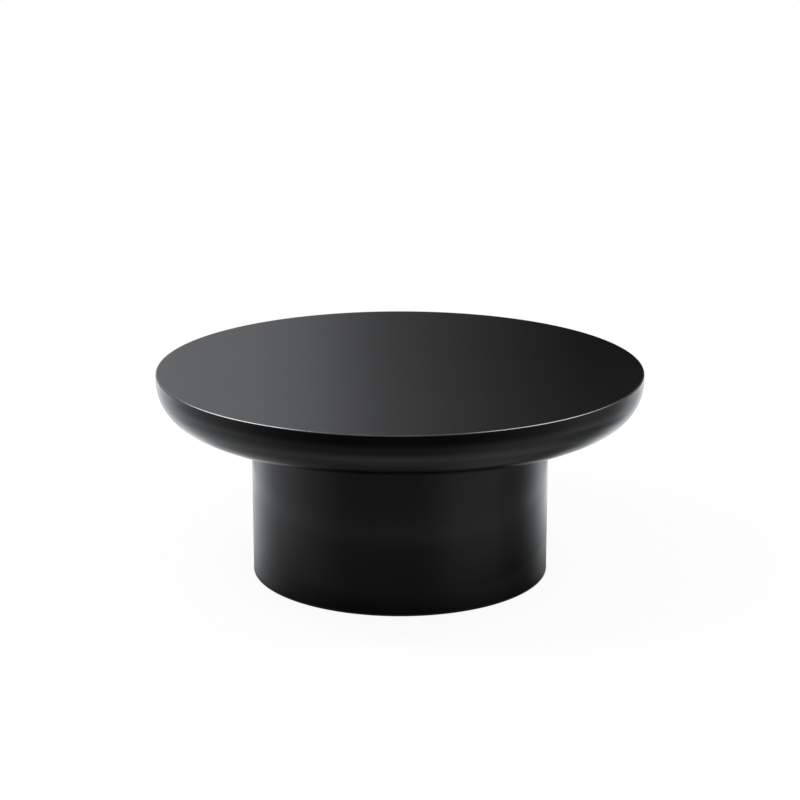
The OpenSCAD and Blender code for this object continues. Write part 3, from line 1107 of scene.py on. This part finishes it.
def card_left(tree, half):
    """How much of a square card is left: all in its middle, and nothing at its edges."""
    x, y, _ = tree.axes()
    across, along = (tree.math("ABSOLUTE", value) for value in (x, y))
    fades = [tree.ramp(value, 0.5 * half, half, 1.0, 0.0) for value in (across, along)]
    return tree.math("MULTIPLY", *fades)


def facing(place, height, front):
    """The turn that points one side of a piece at a height on the Z axis."""
    return (Vector((0, 0, height)) - Vector(place)).to_track_quat(front, "Y").to_euler()


def gloss_card(name, place, width, strength):
    """A square card that faces the table, fades out at its edges and shows only in reflections."""
    start_clean()
    turned = facing(place, TABLE_TOP_Z, "Z")
    bpy.ops.mesh.primitive_plane_add(size=1, location=place, rotation=turned)
    card = added(name)
    card.scale = (width, width, 1)
    bpy.ops.object.transform_apply(location=False, rotation=False, scale=True)
    for_gloss(
        card, lambda tree: tree.math("MULTIPLY", card_left(tree, width / 2), strength),
        lambda tree: tree.math("SUBTRACT", 1.0, card_left(tree, width / 2)),
    )


def gloss_ring(name, radius, height, glow, clear=None):
    """A low upright ring round the table that shows only in its reflections."""
    start_clean()
    bpy.ops.mesh.primitive_cylinder_add(
        vertices=128, radius=radius, depth=height, end_fill_type="NOTHING",
        location=(0, 0, height / 2),
    )
    ring = added(name)
    settle(ring)
    for_gloss(ring, glow, clear)


def softbox(name, place, width, watts):
    """A square area lamp that looks at the middle of the table."""
    start_clean()
    bpy.ops.object.light_add(type="AREA", location=place)
    lamp = added(name)
    lamp.data.shape = "RECTANGLE"
    lamp.data.size = lamp.data.size_y = width
    lamp.data.energy = watts
    lamp.visible_camera = lamp.visible_glossy = False
    lamp.rotation_euler = facing(place, UNDERSIDE_Z, "-Z")


class TABLE_OT_stage(Operator):
    """Set up the floor, the cards, the lamps and the camera"""

    bl_idname = "table.make_stage"
    bl_label = "Stage"

    def execute(self, context):
        settings = context.scene.table_studio
        start_clean()
        bpy.ops.mesh.primitive_circle_add(
            vertices=96, radius=FLOOR_RADIUS, fill_type="NGON", location=(0, 0, -FLOOR_DROP)
        )
        floor = added("floor")
        floor.data.materials.append(floor_material())
        start_clean()
        bpy.ops.mesh.primitive_plane_add(
            size=1, location=BACK_CARD_PLACE, rotation=(math.pi / 2, 0, 0)
        )
        card = added("back_card")
        card.scale = BACK_CARD_SIZE
        bpy.ops.object.transform_apply(location=False, rotation=True, scale=True)
        for_gloss(card, back_card_glow)
        for place in GLOSS_CARDS:
            gloss_card(*place)
        gloss_ring("inner_ring", *INNER_RING, inner_ring_glow, inner_ring_clear)
        gloss_ring("outer_ring", *OUTER_RING, outer_ring_glow)
        for lamp in SOFTBOXES:
            softbox(*lamp)
        studio_world()
        back = settings.distance * math.cos(settings.elevation)
        up = settings.aim_height + settings.distance * math.sin(settings.elevation)
        tilt = math.pi / 2 - settings.elevation
        start_clean()
        bpy.ops.object.camera_add(location=(0, -back, up), rotation=(tilt, 0, 0))
        camera = added("camera")
        camera.data.sensor_width = SENSOR_WIDTH
        camera.data.lens = settings.lens
        context.scene.camera = camera
        context.scene.view_settings.view_transform = "Standard"
        return {"FINISHED"}


class TABLE_PT_panel(Panel):
    """Lists the pieces of the table"""

    bl_idname = "TABLE_PT_panel"
    bl_label = "Round pedestal table"
    bl_space_type = "VIEW_3D"
    bl_region_type = "UI"
    bl_category = "Table"

    def draw(self, context):
        for operator in OPERATORS:
            self.layout.operator(operator.bl_idname)


GROUPS = {
    "table_top": TableTopSizes,
    "table_drum": DrumSizes,
    "table_joint": JointSizes,
    "table_screw": ScrewSizes,
    "table_foot": FootSizes,
    "table_finish": FinishColours,
    "table_studio": StudioSettings,
}
OPERATORS = (
    TABLE_OT_stage, TABLE_OT_top, TABLE_OT_drum, TABLE_OT_bolts, TABLE_OT_inserts, TABLE_OT_screws,
    TABLE_OT_feet, TABLE_OT_inner_parts,
)


def register():
    """Registers the settings, the operators and the panel."""
    for cls in (*GROUPS.values(), *OPERATORS, TABLE_PT_panel):
        bpy.utils.register_class(cls)
    for name, group in GROUPS.items():
        setattr(bpy.types.Scene, name, PointerProperty(type=group))


def unregister():
    """Takes away all that register added."""
    for name in GROUPS:
        delattr(bpy.types.Scene, name)
    for cls in reversed((*GROUPS.values(), *OPERATORS, TABLE_PT_panel)):
        bpy.utils.unregister_class(cls)


def main():
    """Makes the stage and every piece."""
    register()
    bpy.ops.table.make_stage()
    bpy.ops.table.make_top()
    bpy.ops.table.make_drum()
    bpy.ops.table.make_bolts()
    bpy.ops.table.make_inserts()
    bpy.ops.table.make_screws()
    bpy.ops.table.make_feet()
    bpy.ops.table.finish_inner_parts()


if __name__ == "__main__":
    main()
